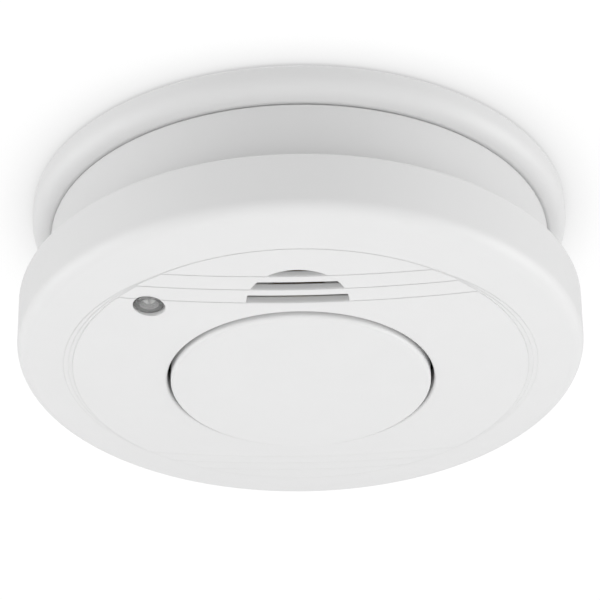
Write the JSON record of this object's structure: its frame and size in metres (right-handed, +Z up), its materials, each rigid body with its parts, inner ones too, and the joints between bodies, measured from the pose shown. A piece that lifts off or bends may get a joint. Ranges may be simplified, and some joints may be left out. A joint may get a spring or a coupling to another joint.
{
  "type": "smoke detector",
  "caption": "Round battery smoke alarm for a ceiling: quarter-turn mounting plate, recessed neck with a hidden inlet, domed cover with sounder slots, indicator lens and large test button.",
  "frame": {"origin": "centre of the mounting plate's face that lies on the ceiling", "axes": "+Z up into the ceiling along the alarm's axis, so the alarm hangs at negative z; the sounder slots lie towards -Y and the indicator towards -X and -Y"},
  "size_m": [0.105, 0.105, 0.0371],
  "materials": {
    "white_plastic": "fine satin, moulded",
    "spring_steel": "drawn wire",
    "clear_lens": "clear, polished",
    "led_epoxy": "water-clear, glossy",
    "battery_case": "printed wrap, plain",
    "plated_contact": "nickel plate",
    "red_plastic": "moulded",
    "board": "solder mask on glass fibre",
    "black_plastic": "moulded",
    "capacitor_sleeve": "shrink sleeve",
    "resistor_body": "lacquer",
    "grey_plastic": "moulded",
    "screen_wire": "etched mesh",
    "tinted_lens": "tinted, glossy",
    "shield_tin": "tinned sheet",
    "piezo_brass": "bright",
    "ceramic": "silvered ceramic",
    "screw_steel": "zinc plate",
    "blank_label": "plain foil label, no print"
  },
  "bodies": {
    "plate": {"mounting_plate": "white_plastic"},
    "alarm": {"rear_housing": "white_plastic", "front_cover": "white_plastic", "button_spring": "spring_steel", "indicator_lens": "clear_lens", "indicator_led": "led_epoxy", "battery": "battery_case", "battery_terminals": "plated_contact", "battery_contacts": "plated_contact", "battery_lockout_flap": "red_plastic", "circuit_board": "board", "detector_chip": "black_plastic", "capacitors": "capacitor_sleeve", "resistors": "resistor_body", "test_switch_body": "black_plastic", "chamber_base": "black_plastic", "chamber_labyrinth": "black_plastic", "insect_screen": "screen_wire", "infrared_emitter": "tinted_lens", "photodiode": "black_plastic", "photodiode_shield": "shield_tin", "horn_housing": "grey_plastic", "piezo_disc": "piezo_brass", "piezo_ceramic": "ceramic", "horn_contacts": "piezo_brass", "housing_screws": "screw_steel", "board_screws": "screw_steel", "rating_label": "blank_label"},
    "button": {"test_button": "white_plastic"},
    "plunger": {"test_switch_plunger": "grey_plastic"}
  },
  "joints": [
    {"name": "bayonet_twist", "type": "hinge", "parent": "plate", "child": "alarm", "pos_m": [0, 0, 0], "axis": [0, 0, 1], "range_deg": [-14, 0]},
    {"name": "test_button_press", "type": "slide", "parent": "alarm", "child": "button", "axis": [0, 0, 1], "range_m": [0, 0.001], "stiffness_N_per_m": 300, "springref_m": -0.003, "deforming": ["button_spring"]},
    {"name": "switch_plunger_slide", "type": "slide", "parent": "alarm", "child": "plunger", "axis": [0, 0, 1], "range_m": [0, 0.00025]}
  ],
  "couplings": [
    {"joint": "switch_plunger_slide", "follows": "test_button_press", "ratio": 0.25}
  ]
}
